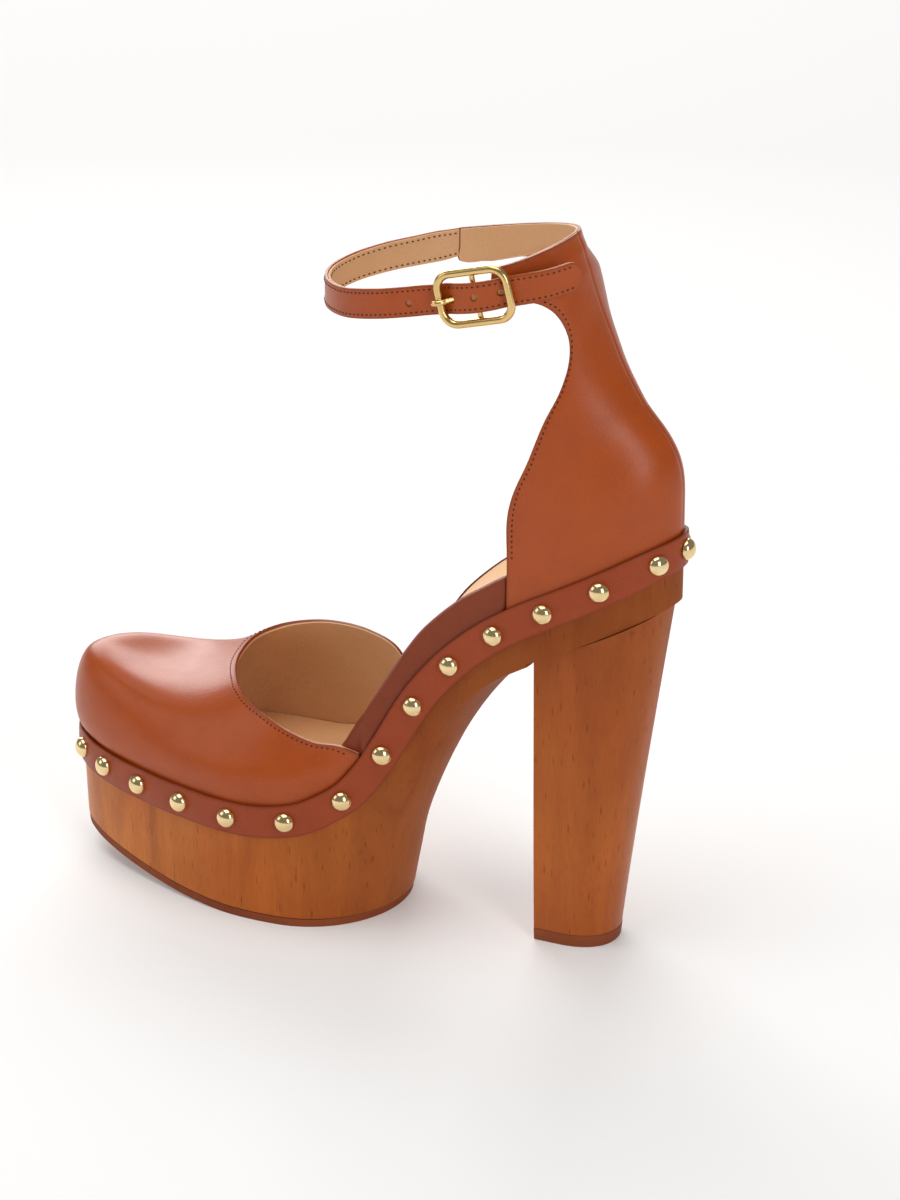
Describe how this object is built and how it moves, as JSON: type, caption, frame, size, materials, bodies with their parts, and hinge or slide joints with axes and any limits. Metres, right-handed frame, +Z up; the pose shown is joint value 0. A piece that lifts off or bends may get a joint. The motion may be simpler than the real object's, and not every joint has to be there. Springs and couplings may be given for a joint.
{
  "type": "platform pump",
  "caption": "Closed-toe platform pump with a tall block heel, an open arch, a domed-stud band round its sole and a buckled ankle strap; a left shoe worn on the foot.",
  "frame": {"origin": "on the floor under the ball of the foot, on the centre line of the heel", "axes": "+X to the outer side of this left shoe, -Y to the toe, +Y to the heel, +Z up"},
  "size_m": [0.0836, 0.2306, 0.2482],
  "materials": {
    "upper_leather": "smooth, soft gloss",
    "lining_leather": "matte",
    "band_leather": "smooth, soft gloss",
    "platform_wood": "varnished, satin",
    "heel_wood": "varnished, satin",
    "tread_rubber": "matte",
    "stud_brass": "polished",
    "buckle_brass": "polished"
  },
  "bodies": {
    "root": {"outsole": "tread_rubber", "wood_sole": "platform_wood", "heel_block": "heel_wood", "heel_top_lift": "tread_rubber", "insole": "lining_leather", "vamp": "upper_leather", "counter": "upper_leather", "studded_band": "band_leather", "ankle_strap": "upper_leather", "buckle_frame": "buckle_brass", "buckle_prong": "buckle_brass", "stud_01": "stud_brass", "stud_02": "stud_brass", "stud_03": "stud_brass", "stud_04": "stud_brass", "stud_05": "stud_brass", "stud_06": "stud_brass", "stud_07": "stud_brass", "stud_08": "stud_brass", "stud_09": "stud_brass", "stud_10": "stud_brass", "stud_11": "stud_brass", "stud_12": "stud_brass", "stud_13": "stud_brass", "stud_14": "stud_brass", "stud_15": "stud_brass", "stud_16": "stud_brass", "stud_17": "stud_brass", "stud_18": "stud_brass", "stud_19": "stud_brass", "stud_20": "stud_brass", "stud_21": "stud_brass", "stud_22": "stud_brass", "stud_23": "stud_brass", "stud_24": "stud_brass", "stud_25": "stud_brass", "stud_26": "stud_brass", "stud_27": "stud_brass", "stud_28": "stud_brass", "stud_29": "stud_brass"}
  },
  "joints": []
}
